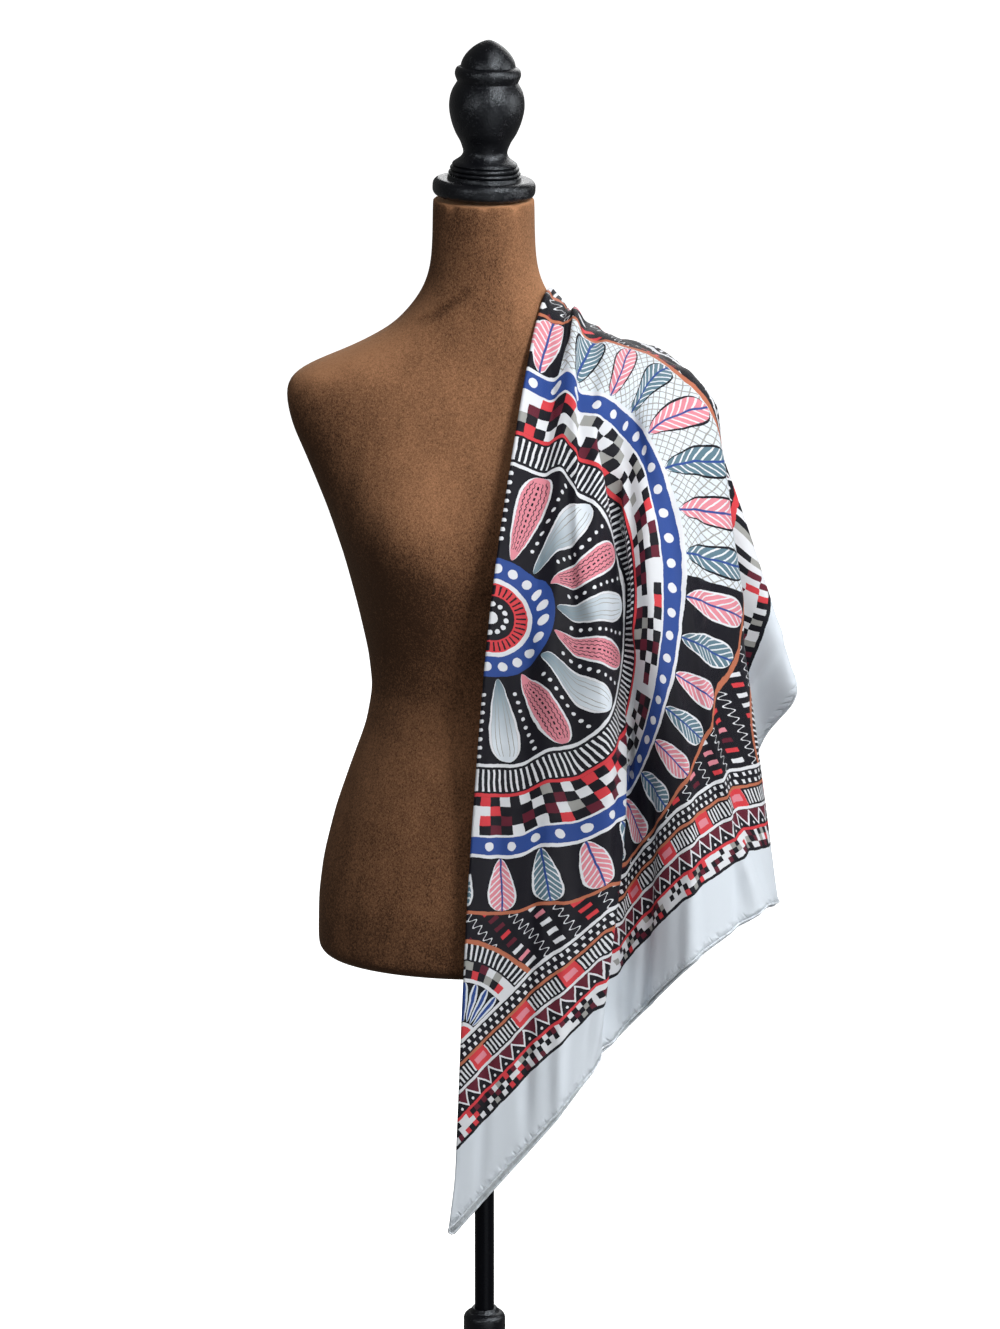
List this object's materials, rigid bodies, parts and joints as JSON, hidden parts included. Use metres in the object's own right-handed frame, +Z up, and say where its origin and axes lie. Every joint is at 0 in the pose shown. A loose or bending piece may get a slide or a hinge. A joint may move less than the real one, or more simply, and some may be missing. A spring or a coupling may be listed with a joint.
{
  "type": "silk scarf draped on a dress form",
  "caption": "Square printed silk scarf, folded on its diagonal and draped over one shoulder of a limbless velvet dress form on a turned stand.",
  "frame": {"origin": "centre of the flat underside of the round base", "axes": "+Z up along the pole, -Y the front of the form, +X the shoulder that carries the scarf"},
  "size_m": [0.5149, 0.32, 1.614],
  "materials": {
    "silk": "printed silk twill with a soft sheen, plain pale border",
    "velvet": "short brown velvet pile",
    "black_wood": "black paint, half gloss",
    "black_steel": "black enamel"
  },
  "bodies": {
    "root": {"base_disc": "black_wood", "column": "black_wood", "pole": "black_steel", "form_body": "velvet", "neck_cap": "black_wood", "finial": "black_wood", "scarf_outer_half": "silk", "scarf_under_half": "silk"}
  },
  "joints": []
}
